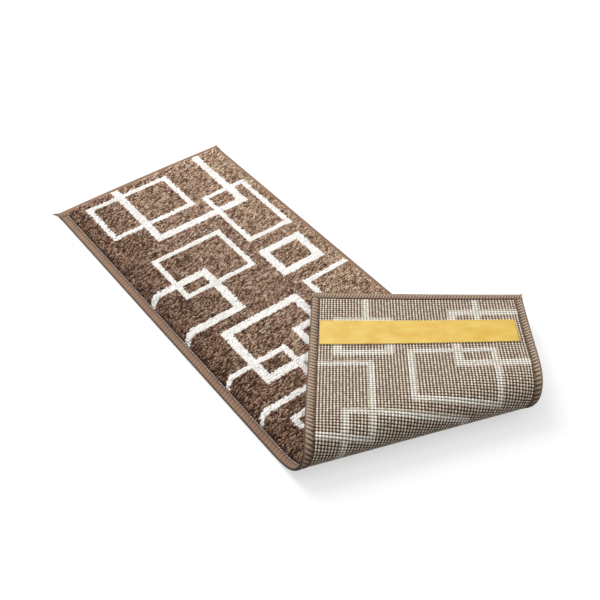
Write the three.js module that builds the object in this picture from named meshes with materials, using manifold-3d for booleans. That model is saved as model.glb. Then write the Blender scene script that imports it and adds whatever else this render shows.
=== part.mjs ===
// Anti slip stair tread mat: a woven cut-pile strip with serged edges,
// lying flat on its underside with one end folded over on a slant.
// The mat is first built flat. Across is measured from its left edge, along
// from its far end, and height from its underside. Then it is bent.

import * as THREE from "three";
import { mergeVertices } from "three/addons/utils/BufferGeometryUtils.js";
import Module from "manifold-3d";

const wasm = await Module();
wasm.setup();
const { Manifold, Mesh } = wasm;

// The whole mat, laid flat
const MAT_WIDTH = 240;
const MAT_LENGTH = 753;

// Layers, from the floor up
const BACKING_THICKNESS = 2.4;
const RIDGE_DEPTH = 0.6;
const RIDGE_PITCH = 3.3;
const PILE_HEIGHT = 8.2;
const PILE_BASE = 0.7;

// Pile edges: a rounded shoulder on the left, a slight overhang on the right
const SHOULDER_WIDTH = 14;
const PILE_OVERHANG = 2;
const PILE_BEVEL = 1.5;

// Serged edging, folded round the thin rim of the backing
const EDGING_WIDTH = 10;
const EDGING_THICKNESS = 2.9;
const EDGING_WALL = 0.55;
const EDGING_ROUNDING = 0.9;
const RIM_THICKNESS = 1.2;
const RIM_INSET = 1.2;

// Thread tails left at the corners, the longest at the far left
const TAIL_LENGTH = 9;
const SHORT_TAIL_LENGTH = 5.5;
const TAIL_RADIUS = 1.6;
const TAIL_SIDES = 7;

// Pale bands
const THIN_BAND = 6.8;
const MEDIUM_BAND = 8;
const THICK_BAND = 10;
const BACK_BAND_TOP = 0.15;
const BACK_BAND_BOTTOM = 1;

// Grip tape under the two ends
const TAPE_WIDTH = 38;
const TAPE_SIDE_SPACE = 4;
const TAPE_SHIFT = -2.5;
const TAPE_THICKNESS = 0.45;
const TAPE_FROM_END = 47;

// Fold
const FOLD_SLANT = THREE.MathUtils.degToRad(19.7);
const CURL_MIDDLE = 507.7;
const CURL_TURN_LEAST = THREE.MathUtils.degToRad(150);
const CURL_TURN_MOST = THREE.MathUtils.degToRad(230);
const CURL_HALF_LENGTH = 61.4;
const DROOP_TURN = THREE.MathUtils.degToRad(14.3);
const DROOP_OFFSET = 162.7;
const DROOP_HALF_LENGTH = 155;
const NEUTRAL_HEIGHT = 1.2;
const REST_GAP = 0.5;
const HALVINGS = 30;
const FACET_TURN = THREE.MathUtils.degToRad(18);
const FACET_LENGTH = 70;
const WALK_STEP = 0.25;
const SEAM_TOLERANCE = 0.004;
const CUT_TOLERANCE = 0.0005;
const WELD_TOLERANCE = 0.0001;
const PLAIN_BEFORE_CURL = 2;

// Space between neighbouring pieces, and how far a cutter reaches past its piece
const GAP = 0.3;
const CUTTER_REACH = 1;

// Heights that follow from the sizes above
const RIM_BOTTOM = EDGING_WALL + GAP;
const RIM_TOP = RIM_BOTTOM + RIM_THICKNESS;
const PILE_BOTTOM = BACKING_THICKNESS + GAP;
const PILE_TOP = PILE_BOTTOM + PILE_HEIGHT;
const CHANNEL_FLOOR = PILE_BOTTOM + PILE_BASE;
const BODY_INSET = EDGING_WIDTH + GAP;
const TAPE_LENGTH = MAT_WIDTH - 2 * (EDGING_WIDTH + TAPE_SIDE_SPACE);
const FAR_OUT = 2 * MAT_LENGTH;

// Rectangles of the woven pattern, by the middle lines of their bands, in
// hundredths of the mat's width (left, right) and of its length (far, near).
// A side left out runs off the edge of the mat.
const PATTERN_FAR = [
  { left: 13.75, right: 59.58, far: 3.19, near: 12.08, band: THIN_BAND },
  { left: 32.08, right: 82.92, near: 16.28, band: THICK_BAND },
  { left: 67.71, right: 91.67, far: 12.16, near: 25.5, band: THIN_BAND },
];
const PATTERN_LEFT = [
  { left: 20.21, right: 58.08, far: 20.72, near: 30.35, band: THIN_BAND },
  { right: 36.25, far: 27.32, near: 36.89, band: THICK_BAND },
];
const PATTERN_SQUARE = [
  { left: 67.29, right: 88.54, far: 29.21, near: 34.99, band: THICK_BAND },
];
const PATTERN_MIDDLE = [
  { left: 71.83, far: 38.56, near: 52.1, band: THIN_BAND },
  { left: 21.08, right: 60.42, far: 40.31, near: 50.81, band: THICK_BAND },
  { right: 37.17, far: 47.28, near: 55.11, band: THIN_BAND },
  { left: 48.54, right: 85.83, far: 45.69, near: 54.18, band: MEDIUM_BAND },
];
const PATTERN_FOLD = [
  { left: 16.67, right: 67.5, far: 58.27, near: 75.13, band: THIN_BAND },
  { right: 27.92, far: 71.33, near: 84.8, band: THIN_BAND },
];
const PATTERN_END = [
  { left: 44.67, right: 80.13, far: 77.68, near: 87.11, band: THIN_BAND },
  { left: 65, far: 84.36, near: 95.65, band: MEDIUM_BAND },
  { left: 13.25, right: 36.46, far: 87.07, near: 93.92, band: MEDIUM_BAND },
  { left: 26.67, right: 76.38, far: 91.07, band: THIN_BAND },
];

// Turn of the mat after a distance past the start of a smooth curve
function easedTurn(distance, turn, halfLength) {
  const x = THREE.MathUtils.clamp(distance / halfLength, -1, 1);
  return 0.5 * turn * (1 + x + Math.sin(Math.PI * x) / Math.PI);
}

function turnAt(distance, curlTurn) {
  const curl = easedTurn(distance, curlTurn, CURL_HALF_LENGTH);
  const droop = easedTurn(distance - DROOP_OFFSET, DROOP_TURN, DROOP_HALF_LENGTH);
  return curl - droop;
}

// Distance past the middle of the curl, square to the fold
function foldDistance(across, along) {
  return (along - CURL_MIDDLE) * Math.cos(FOLD_SLANT) - across * Math.sin(FOLD_SLANT);
}

// Walk along the fold, from where the curl begins, to a distance past its middle
function walkFold(curlTurn, end, visit) {
  const start = -CURL_HALF_LENGTH;
  const here = { distance: start, reach: start, height: NEUTRAL_HEIGHT, turn: 0 };
  visit(here);
  while (here.distance < end) {
    const middleTurn = turnAt(here.distance + WALK_STEP / 2, curlTurn);
    here.distance += WALK_STEP;
    here.reach += WALK_STEP * Math.cos(middleTurn);
    here.height += WALK_STEP * Math.sin(middleTurn);
    here.turn = turnAt(here.distance, curlTurn);
    visit(here);
  }
  return here;
}

// The folded end drops until the pile at its corner comes to rest on the pile below
function restingTurn() {
  const corner = foldDistance(0, MAT_LENGTH);
  const restHeight = 2 * PILE_TOP - NEUTRAL_HEIGHT + REST_GAP;
  let least = CURL_TURN_LEAST;
  let most = CURL_TURN_MOST;
  for (let i = 0; i < HALVINGS; i += 1) {
    const turn = (least + most) / 2;
    const end = walkFold(turn, corner, () => {});
    if (end.height > restHeight) {
      least = turn;
    } else {
      most = turn;
    }
  }
  return (least + most) / 2;
}

// Keep a station at each facet of the bend
function bendStations() {
  const end = foldDistance(-TAIL_LENGTH, MAT_LENGTH + TAIL_LENGTH) + 1;
  const stations = [];
  const lastPlace = walkFold(restingTurn(), end, (here) => {
    const last = stations[stations.length - 1];
    const turned = last && Math.abs(here.turn - last.turn) >= FACET_TURN;
    const travelled = last && here.distance - last.distance >= FACET_LENGTH;
    if (!last || turned || travelled) {
      stations.push({ ...here });
    }
  });
  stations.push({ ...lastPlace });
  return stations;
}

const STATIONS = bendStations();
const FOLD_NORMAL = [-Math.sin(FOLD_SLANT), -Math.cos(FOLD_SLANT), 0];

// A point at a height over a station, as distance square to the fold and height
function overStation(station, height) {
  const lift = height - NEUTRAL_HEIGHT;
  const reach = station.reach - lift * Math.sin(station.turn);
  return new THREE.Vector2(reach, station.height + lift * Math.cos(station.turn));
}

// Move a point of the flat mat to its place on the folded mat
function bendPoint(point) {
  const distance = foldDistance(point.x, -point.y);
  if (distance <= STATIONS[0].distance) {
    return point.clone();
  }
  let k = 1;
  while (k < STATIONS.length - 1 && STATIONS[k].distance < distance) {
    k += 1;
  }
  const before = STATIONS[k - 1];
  const after = STATIONS[k];
  const share = (distance - before.distance) / (after.distance - before.distance);
  const place = overStation(before, point.z).lerp(overStation(after, point.z), share);
  const shift = place.x - distance;
  const x = point.x - shift * Math.sin(FOLD_SLANT);
  const y = point.y - shift * Math.cos(FOLD_SLANT);
  return new THREE.Vector3(x, y, place.y);
}

function foldDistanceAt(point) {
  return foldDistance(point.x, -point.y);
}

// Triangles of a strip, without the faces where it was cut from its neighbours
function outerTriangles(strip, cuts) {
  const mesh = strip.getMesh();
  const points = [];
  for (let i = 0; i < mesh.vertProperties.length; i += mesh.numProp) {
    points.push(new THREE.Vector3(...mesh.vertProperties.slice(i, i + 3)));
  }
  const triangles = [];
  for (let i = 0; i < mesh.triVerts.length; i += 3) {
    const triangle = Array.from(mesh.triVerts.slice(i, i + 3), (k) => points[k]);
    const isCutFace = cuts.some((cut) => triangle.every((point) => isOnCut(point, cut)));
    if (!isCutFace) {
      triangles.push(triangle);
    }
  }
  return triangles;
}

function isOnCut(point, cut) {
  return Math.abs(foldDistanceAt(point) - cut) < CUT_TOLERANCE;
}

// Seam points strictly between two others on a straight line, in order
function pointsBetween(start, end, seam) {
  const span = new THREE.Line3(start, end);
  const nearest = new THREE.Vector3();
  const found = [];
  for (const point of seam) {
    const share = span.closestPointToPointParameter(point, false);
    const margin = SEAM_TOLERANCE / span.distance();
    span.at(share, nearest);
    if (share > margin && share < 1 - margin && nearest.distanceTo(point) < SEAM_TOLERANCE) {
      found.push({ share, point });
    }
  }
  found.sort((one, other) => one.share - other.share);
  return found.map((entry) => entry.point);
}

// Give the triangles on both sides of a seam the same points along it
function matchSeam(triangles, cut) {
  const seam = [];
  const settle = (corner) => {
    if (!isOnCut(corner, cut)) {
      return corner;
    }
    const known = seam.find((point) => point.distanceTo(corner) < SEAM_TOLERANCE);
    if (known) {
      return known;
    }
    seam.push(corner);
    return corner;
  };
  const settled = triangles.map((triangle) => triangle.map(settle));
  return settled.flatMap((triangle) => {
    const edge = [0, 1, 2].find((k) => isOnCut(triangle[k], cut) && isOnCut(triangle[(k + 1) % 3], cut));
    if (edge === undefined) {
      return [triangle];
    }
    const start = triangle[edge];
    const end = triangle[(edge + 1) % 3];
    const apex = triangle[(edge + 2) % 3];
    const line = [start, ...pointsBetween(start, end, seam), end];
    return line.slice(1).map((point, k) => [line[k], point, apex]);
  });
}

// Fold a flat solid: cut it into strips along the fold, bend them and sew the seams
function foldSolid(flat) {
  const cuts = STATIONS.map((station) => station.distance);
  let rest = flat;
  let triangles = [];
  cuts.forEach((cut, k) => {
    const [beyond, before] = rest.splitByPlane(FOLD_NORMAL, cut + CURL_MIDDLE * Math.cos(FOLD_SLANT));
    const ownCuts = cuts.slice(Math.max(0, k - 1), k + 1);
    triangles.push(...outerTriangles(before, ownCuts));
    rest = beyond;
  });
  for (const cut of cuts) {
    triangles = matchSeam(triangles, cut);
  }
  const corners = triangles.flat().map(bendPoint);
  const geometry = mergeVertices(new THREE.BufferGeometry().setFromPoints(corners), WELD_TOLERANCE);
  const index = Array.from(geometry.getIndex().array);
  const kept = [];
  for (let i = 0; i < index.length; i += 3) {
    const triangle = index.slice(i, i + 3);
    if (new Set(triangle).size === 3) {
      kept.push(...triangle);
    }
  }
  geometry.setIndex(kept);
  return geometry;
}

// Solid from a closed geometry, ready to be joined or cut
function solidFrom(geometry) {
  const bare = new THREE.BufferGeometry();
  bare.setAttribute("position", geometry.getAttribute("position"));
  bare.setIndex(geometry.getIndex());
  const merged = mergeVertices(bare, WELD_TOLERANCE);
  const mesh = new Mesh({
    numProp: 3,
    vertProperties: new Float32Array(merged.getAttribute("position").array),
    triVerts: new Uint32Array(merged.getIndex().array),
  });
  return new Manifold(mesh);
}

// Block between two places across, two along and two heights
function block(left, right, far, near, bottom, top) {
  const geometry = new THREE.BoxGeometry();
  const position = geometry.getAttribute("position");
  for (let i = 0; i < position.count; i += 1) {
    const x = position.getX(i) > 0 ? right : left;
    const y = position.getY(i) > 0 ? -far : -near;
    const z = position.getZ(i) > 0 ? top : bottom;
    position.setXYZ(i, x, y, z);
  }
  return solidFrom(geometry);
}

function extrude(outline, length) {
  const shape = new THREE.Shape(outline.map(([x, y]) => new THREE.Vector2(x, y)));
  return new THREE.ExtrudeGeometry(shape, { depth: length, bevelEnabled: false });
}

// Bar along the mat from an outline given as places across and heights
function barAlong(outline, far, near) {
  const geometry = extrude(outline, near - far);
  geometry.rotateX(Math.PI / 2);
  geometry.translate(0, -far, 0);
  return solidFrom(geometry);
}

// Bar across the mat from an outline given as places along and heights
function barAcross(outline, left, right) {
  const mirrored = outline.map(([along, height]) => [-along, height]);
  const geometry = extrude(mirrored, right - left);
  geometry.rotateX(Math.PI / 2);
  geometry.rotateZ(Math.PI / 2);
  geometry.translate(left, 0, 0);
  return solidFrom(geometry);
}

// Length from hundredths of a whole, where they are given
function shareOf(whole, hundredths) {
  return hundredths === undefined ? undefined : (whole * hundredths) / 100;
}

// Area of a pattern's bands, made wider by a margin, between two heights
function bandArea(pattern, margin, bottom, top) {
  const bars = [];
  for (const rectangle of pattern) {
    const half = rectangle.band / 2 + margin;
    const left = shareOf(MAT_WIDTH, rectangle.left);
    const right = shareOf(MAT_WIDTH, rectangle.right);
    const far = shareOf(MAT_LENGTH, rectangle.far);
    const near = shareOf(MAT_LENGTH, rectangle.near);
    const leftEnd = left === undefined ? -FAR_OUT : left - half;
    const rightEnd = right === undefined ? FAR_OUT : right + half;
    const farMiddle = far ?? -FAR_OUT;
    const nearMiddle = near ?? FAR_OUT;
    for (const middle of [left, right].filter((side) => side !== undefined)) {
      bars.push(block(middle - half, middle + half, farMiddle, nearMiddle, bottom, top));
    }
    for (const middle of [far, near].filter((side) => side !== undefined)) {
      bars.push(block(leftEnd, rightEnd, middle - half, middle + half, bottom, top));
    }
  }
  return Manifold.union(bars);
}

// Ridged underside of the backing, as an outline across the mat
function ridgedOutline() {
  const left = BODY_INSET;
  const right = MAT_WIDTH - BODY_INSET;
  const count = Math.round((right - left) / RIDGE_PITCH);
  const pitch = (right - left) / count;
  const outline = [[left, RIDGE_DEPTH]];
  for (let i = 0; i < count; i += 1) {
    outline.push([left + (i + 0.5) * pitch, 0]);
    outline.push([left + (i + 1) * pitch, RIDGE_DEPTH]);
  }
  outline.push([right, BACKING_THICKNESS], [left, BACKING_THICKNESS]);
  return outline;
}

// Room inside the edging, up to a height
function bodyRegion(top) {
  return block(BODY_INSET, MAT_WIDTH - BODY_INSET, BODY_INSET, MAT_LENGTH - BODY_INSET, -CUTTER_REACH, top);
}

function ridgedBody() {
  return barAlong(ridgedOutline(), BODY_INSET, MAT_LENGTH - BODY_INSET);
}

// Pile seen from the end, with its shoulder and its overhang
function pileOutline() {
  const left = BODY_INSET;
  const right = MAT_WIDTH - BODY_INSET;
  return [
    [left, PILE_BOTTOM],
    [right, PILE_BOTTOM],
    [right + PILE_OVERHANG, PILE_TOP - PILE_BEVEL],
    [right + PILE_OVERHANG - PILE_BEVEL, PILE_TOP],
    [left + SHOULDER_WIDTH, PILE_TOP],
    [left + 0.45 * SHOULDER_WIDTH, PILE_TOP - 0.2 * PILE_HEIGHT],
    [left + 0.12 * SHOULDER_WIDTH, PILE_TOP - 0.55 * PILE_HEIGHT],
  ];
}

function pileBody() {
  return barAlong(pileOutline(), BODY_INSET, MAT_LENGTH - BODY_INSET);
}

function tapeSpot(middle, margin, bottom, top) {
  const halfLength = TAPE_LENGTH / 2 + margin;
  const halfWidth = TAPE_WIDTH / 2 + margin;
  const centre = MAT_WIDTH / 2 + TAPE_SHIFT;
  return block(centre - halfLength, centre + halfLength, middle - halfWidth, middle + halfWidth, bottom, top);
}

const NEAR_TAPE_MIDDLE = MAT_LENGTH - TAPE_FROM_END - TAPE_WIDTH / 2;
const FAR_TAPE_MIDDLE = TAPE_FROM_END + TAPE_WIDTH / 2;

// Woven backing with its thin rim, the far tape's bed and the beds of the bands
function backing() {
  const across = [RIM_INSET, MAT_WIDTH - RIM_INSET];
  const along = [RIM_INSET, MAT_LENGTH - RIM_INSET];
  const rim = block(...across, ...along, RIM_BOTTOM, RIM_TOP);
  const bedDepth = BACK_BAND_BOTTOM + GAP;
  const bedArea = bandArea([...PATTERN_FOLD, ...PATTERN_END], GAP, -CUTTER_REACH, bedDepth);
  const beds = bedArea.intersect(bodyRegion(bedDepth));
  const tapeBed = tapeSpot(FAR_TAPE_MIDDLE, GAP, -CUTTER_REACH, TAPE_THICKNESS + GAP);
  return ridgedBody().add(rim).subtract(beds).subtract(tapeBed);
}

// Pale bands of the pile end where the curl begins: inside the fold it is plain
function beforeCurl(area, space) {
  const end = STATIONS[0].distance - PLAIN_BEFORE_CURL - space;
  return area.splitByPlane(FOLD_NORMAL, end + CURL_MIDDLE * Math.cos(FOLD_SLANT))[1];
}

// Brown pile with channels where the pale pile stands
function pile() {
  const whole = [
    ...PATTERN_FAR,
    ...PATTERN_LEFT,
    ...PATTERN_SQUARE,
    ...PATTERN_MIDDLE,
    ...PATTERN_FOLD,
  ];
  const channels = bandArea(whole, GAP / 2, CHANNEL_FLOOR, PILE_TOP + CUTTER_REACH);
  return pileBody().subtract(beforeCurl(channels, 0));
}

// Pale pile of one part of the pattern
function paleBands(pattern) {
  const area = bandArea(pattern, -GAP / 2, CHANNEL_FLOOR + GAP, PILE_TOP + CUTTER_REACH);
  return pileBody().intersect(beforeCurl(area, GAP));
}

// The same part of the pattern where it shows on the back
function backBands(pattern) {
  const area = bandArea(pattern, -GAP / 2, BACK_BAND_TOP, BACK_BAND_BOTTOM);
  return area.intersect(bodyRegion(BACK_BAND_BOTTOM + GAP));
}

// Edging as an outline square to the edge, open towards the middle of the mat
function edgingOutline() {
  const slotEnd = RIM_INSET - GAP;
  const slotBottom = RIM_BOTTOM - GAP;
  const slotTop = RIM_TOP + GAP;
  return [
    [EDGING_ROUNDING, 0],
    [EDGING_WIDTH, 0],
    [EDGING_WIDTH, slotBottom],
    [slotEnd, slotBottom],
    [slotEnd, slotTop],
    [EDGING_WIDTH, slotTop],
    [EDGING_WIDTH, EDGING_THICKNESS],
    [EDGING_ROUNDING, EDGING_THICKNESS],
    [0, EDGING_THICKNESS - EDGING_ROUNDING],
    [0, EDGING_ROUNDING],
  ];
}

function edgingLeft() {
  return barAlong(edgingOutline(), BODY_INSET, MAT_LENGTH - BODY_INSET);
}

function edgingRight() {
  const outline = edgingOutline().map(([across, height]) => [MAT_WIDTH - across, height]);
  return barAlong(outline.reverse(), BODY_INSET, MAT_LENGTH - BODY_INSET);
}

// Thread tail pointing out from one corner of the mat
function threadTail(across, along, length) {
  const geometry = new THREE.ConeGeometry(TAIL_RADIUS, length, TAIL_SIDES);
  geometry.rotateZ(-Math.PI / 2);
  geometry.translate(length / 2 - TAIL_RADIUS, 0, EDGING_THICKNESS / 2);
  const out = Math.atan2(along > 0 ? -1 : 1, across > 0 ? 1 : -1);
  geometry.rotateZ(out);
  geometry.translate(across, -along, 0);
  return solidFrom(geometry);
}

function edgingFar() {
  const bar = barAcross(edgingOutline(), 0, MAT_WIDTH);
  const tails = threadTail(0, 0, TAIL_LENGTH).add(threadTail(MAT_WIDTH, 0, SHORT_TAIL_LENGTH));
  return bar.add(tails);
}

function edgingNear() {
  const outline = edgingOutline().map(([along, height]) => [MAT_LENGTH - along, height]);
  const bar = barAcross(outline.reverse(), 0, MAT_WIDTH);
  const left = threadTail(0, MAT_LENGTH, SHORT_TAIL_LENGTH);
  const right = threadTail(MAT_WIDTH, MAT_LENGTH, SHORT_TAIL_LENGTH);
  return bar.add(left).add(right);
}

// The near tape lies on the ridges, the far tape is pressed in flush
function tapeNear() {
  return tapeSpot(NEAR_TAPE_MIDDLE, 0, -GAP - TAPE_THICKNESS, -GAP);
}

function tapeFar() {
  return tapeSpot(FAR_TAPE_MIDDLE, 0, 0, TAPE_THICKNESS);
}

const backingColour = { color: 0xb9a791, roughness: 0.95, metalness: 0 };
const pileColour = { color: 0x83624f, roughness: 1, metalness: 0 };
const paleColour = { color: 0xf0efea, roughness: 1, metalness: 0 };
const edgingColour = { color: 0x8d7162, roughness: 0.9, metalness: 0 };
const tapeColour = { color: 0xf0d073, roughness: 0.6, metalness: 0 };

const PIECES = [
  ["backing", backing, backingColour],
  ["pile", pile, pileColour],
  ["pale_pile_far", () => paleBands(PATTERN_FAR), paleColour],
  ["pale_pile_left", () => paleBands(PATTERN_LEFT), paleColour],
  ["pale_pile_square", () => paleBands(PATTERN_SQUARE), paleColour],
  ["pale_pile_middle", () => paleBands(PATTERN_MIDDLE), paleColour],
  ["pale_pile_fold", () => paleBands(PATTERN_FOLD), paleColour],
  ["pale_back_fold", () => backBands(PATTERN_FOLD), paleColour],
  ["pale_back_end", () => backBands(PATTERN_END), paleColour],
  ["edging_left", edgingLeft, edgingColour],
  ["edging_right", edgingRight, edgingColour],
  ["edging_far", edgingFar, edgingColour],
  ["edging_near", edgingNear, edgingColour],
  ["tape_near_end", tapeNear, tapeColour],
  ["tape_far_end", tapeFar, tapeColour],
];

function piece(name, makeFlat, look) {
  const geometry = foldSolid(makeFlat());
  const mesh = new THREE.Mesh(geometry, new THREE.MeshStandardMaterial(look));
  mesh.name = name;
  return mesh;
}

const mat = new THREE.Group();
mat.name = "stair_tread_mat";
for (const [name, makeFlat, look] of PIECES) {
  mat.add(piece(name, makeFlat, look));
}

// Origin on the floor, under the middle of the folded mat
const extent = new THREE.Box3().setFromObject(mat);
const middle = extent.getCenter(new THREE.Vector3());
mat.position.set(-middle.x, -middle.y, -extent.min.z);

export default mat;
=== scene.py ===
import math

import bpy
import numpy as np
from mathutils import Matrix, Vector


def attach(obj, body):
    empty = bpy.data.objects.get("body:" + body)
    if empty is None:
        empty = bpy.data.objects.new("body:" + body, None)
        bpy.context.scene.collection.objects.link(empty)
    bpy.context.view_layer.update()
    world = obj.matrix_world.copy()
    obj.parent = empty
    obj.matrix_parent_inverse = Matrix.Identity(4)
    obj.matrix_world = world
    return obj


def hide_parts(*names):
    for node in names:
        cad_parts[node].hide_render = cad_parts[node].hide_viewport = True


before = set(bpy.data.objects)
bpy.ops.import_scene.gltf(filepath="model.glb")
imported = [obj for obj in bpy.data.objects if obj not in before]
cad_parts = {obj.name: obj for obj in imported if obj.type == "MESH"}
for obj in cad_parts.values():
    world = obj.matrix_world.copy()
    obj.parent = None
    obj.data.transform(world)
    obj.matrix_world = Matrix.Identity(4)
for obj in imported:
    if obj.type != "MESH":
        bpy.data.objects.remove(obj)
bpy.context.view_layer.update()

rng = np.random.RandomState(11)

# The whole mat, laid flat, in millimetres
PER_METRE = 1000.0
WIDTH = 240.0
LENGTH = 753.0
BODY_INSET = 10.3
PILE_BOTTOM = 2.7
PILE_TOP = 10.9
PILE_HEIGHT = PILE_TOP - PILE_BOTTOM
SHOULDER = 14.0
OVERHANG = 2.0
BACK_TOP = 2.4
BACK_PLANE = 0.65
RIM_INSET = 1.2
RIM_BOTTOM = 0.85
RIM_TOP = 2.05
RIDGE_PITCH = 3.3
THREAD_PITCH = 3.3
SIDE_THREAD_PITCH = 4.7

# How far a soft mat's edges are drawn out of or into the straight outline
EDGE_REACH = 24.0
FAR_EDGE_OUT = 6.0
FAR_EDGE_BOW = 0.25
RIGHT_EDGE_OUT = 2.6
RIGHT_EDGE_CHANGES = [400.0, 500.0]
FLAP_RIGHT_IN = 2.3
FLAP_LEFT_IN = 2.4
FLAP_LEFT_FROM = 600.0
FLAP_END_IN = 1.2

# Fold: a slanted roll that turns the near end over, and a droop that lets it down
SLANT = math.radians(19.7)
CURL_MIDDLE = 507.7
CURL_TURN = math.radians(192.423)
CURL_HALF = 61.4
DROOP_TURN = math.radians(14.3)
DROOP_OFFSET = 162.7
DROOP_HALF = 155.0
NEUTRAL = 1.2
STEP = 0.25
WALK_END = 270.0
ROW_OFFSET = np.array([-170.4085, 288.1031, 0.0])

# Rectangles of the pattern by the middle lines of their bands:
# left, right, far, near, width of the band. None runs off the edge.
PATTERNS = {
    "pale_pile_far": [
        (33.0, 143.0, 24.0, 91.0, 6.8),
        (77.0, 199.0, None, 122.6, 10.0),
        (162.5, 220.0, 91.6, 192.0, 6.8),
    ],
    "pale_pile_left": [
        (48.5, 139.4, 156.0, 228.5, 6.8),
        (None, 87.0, 205.7, 277.8, 10.0),
    ],
    "pale_pile_square": [(161.5, 212.5, 220.0, 263.5, 10.0)],
    "pale_pile_middle": [
        (172.4, None, 290.3, 392.3, 6.8),
        (50.6, 145.0, 303.5, 382.6, 10.0),
        (None, 89.2, 356.0, 415.0, 6.8),
        (116.5, 198.0, 344.0, 408.0, 8.0),
    ],
    "pale_pile_fold": [
        (40.0, 162.0, 438.8, 565.7, 6.8),
        (None, 67.0, 537.1, 638.5, 6.8),
    ],
}
BACK_END = [
    (107.2, 192.3, 584.9, 655.9, 6.8),
    (156.0, None, 635.2, 720.2, 8.0),
    (31.8, 87.5, 655.6, 707.2, 8.0),
    (64.0, 183.3, 685.8, None, 6.8),
]
PLAIN_BEFORE_CURL = 2.0
BAND_SWING = 9.0
SWING_POWER = 1.6
FAR_AWAY = 1e4


def eased(distance, turn, half):
    x = np.clip(distance / half, -1.0, 1.0)
    return 0.5 * turn * (1.0 + x + np.sin(np.pi * x) / np.pi)


def turn_at(distance):
    curl = eased(distance, CURL_TURN, CURL_HALF)
    return curl - eased(distance - DROOP_OFFSET, DROOP_TURN, DROOP_HALF)


WALK = np.arange(-CURL_HALF, WALK_END, STEP)
MIDDLE_TURN = turn_at(WALK[:-1] + STEP / 2)
REACH = np.concatenate([[-CURL_HALF], -CURL_HALF + np.cumsum(STEP * np.cos(MIDDLE_TURN))])
HEIGHT = np.concatenate([[NEUTRAL], NEUTRAL + np.cumsum(STEP * np.sin(MIDDLE_TURN))])


def fold_distance(x, along):
    """How far a place is past the middle line of the curl."""
    return (along - CURL_MIDDLE) * math.cos(SLANT) - x * math.sin(SLANT)


def before_curl(x, along):
    """True where the mat is flat, which is where its pile shows the pattern."""
    return fold_distance(x, along) < -CURL_HALF - PLAIN_BEFORE_CURL


def smoothed(share):
    return share * share * (3 - 2 * share)


def near_edge(distance):
    """1 at an edge of the mat and 0 beyond EDGE_REACH from it."""
    return smoothed(np.clip(1 - distance / EDGE_REACH, 0.0, 1.0))


def draw_edges(points):
    """Edges drawn out or in by a few millimetres, as a soft mat's are."""
    x, along = points[:, 0], -points[:, 1]
    bow = FAR_EDGE_OUT * (1 - FAR_EDGE_BOW * (2 * x / WIDTH - 1) ** 2)
    right = np.interp(along, RIGHT_EDGE_CHANGES, [RIGHT_EDGE_OUT, -FLAP_RIGHT_IN])
    left = np.interp(along, [FLAP_LEFT_FROM, LENGTH], [0.0, FLAP_LEFT_IN])
    out = points.copy()
    out[:, 0] += right * near_edge(WIDTH - x) + left * near_edge(x)
    out[:, 1] += bow * near_edge(along) + FLAP_END_IN * near_edge(LENGTH - along)
    return out


def bend(points):
    """Places on the flat mat, in millimetres, to the row frame, in metres."""
    points = draw_edges(np.asarray(points, float))
    distance = fold_distance(points[:, 0], -points[:, 1])
    turn = turn_at(distance)
    lift = points[:, 2] - NEUTRAL
    reach = np.where(distance < -CURL_HALF, distance, np.interp(distance, WALK, REACH))
    height = np.interp(distance, WALK, HEIGHT)
    shift = reach - lift * np.sin(turn) - distance
    out = np.empty_like(points)
    out[:, 0] = points[:, 0] - shift * math.sin(SLANT)
    out[:, 1] = points[:, 1] - shift * math.cos(SLANT)
    out[:, 2] = height + lift * np.cos(turn)
    return (out + ROW_OFFSET) / PER_METRE


NOISE_ROWS = 256
NOISE_COLUMNS = 512
NOISE_START = 20.0


def smooth_noise(x, y, size, seed):
    """Random values from -1 to 1 that change smoothly over a distance."""
    table = np.random.RandomState(seed).uniform(-1, 1, (NOISE_ROWS, NOISE_COLUMNS))
    u, v = x / size + NOISE_START, y / size + NOISE_START
    i, j = np.floor(u).astype(int), np.floor(v).astype(int)
    share_u, share_v = smoothed(u - i), smoothed(v - j)

    def value(step_i, step_j):
        return table[(i + step_i) % NOISE_ROWS, (j + step_j) % NOISE_COLUMNS]

    low = value(0, 0) * (1 - share_u) + value(1, 0) * share_u
    high = value(0, 1) * (1 - share_u) + value(1, 1) * share_u
    return low * (1 - share_v) + high * share_v


def in_bands(x, along, rectangles, margin=0.0):
    inside = np.zeros(np.shape(x), bool)
    for left, right, far, near, band in rectangles:
        half = band / 2 + margin
        x_from = -FAR_AWAY if left is None else left - half
        x_to = FAR_AWAY if right is None else right + half
        along_from = -FAR_AWAY if far is None else far - half
        along_to = FAR_AWAY if near is None else near + half
        x_in = (x > x_from) & (x < x_to)
        along_in = (along > along_from) & (along < along_to)
        for side in (left, right):
            if side is not None:
                inside |= (np.abs(x - side) < half) & along_in
        for side in (far, near):
            if side is not None:
                inside |= (np.abs(along - side) < half) & x_in
    return inside


def shoulder_swing(x):
    """How far the bands swing towards the near end where they run down the left shoulder."""
    return BAND_SWING * np.clip((BODY_INSET + SHOULDER - x) / SHOULDER, 0.0, 1.0) ** SWING_POWER


# Meshes


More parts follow.
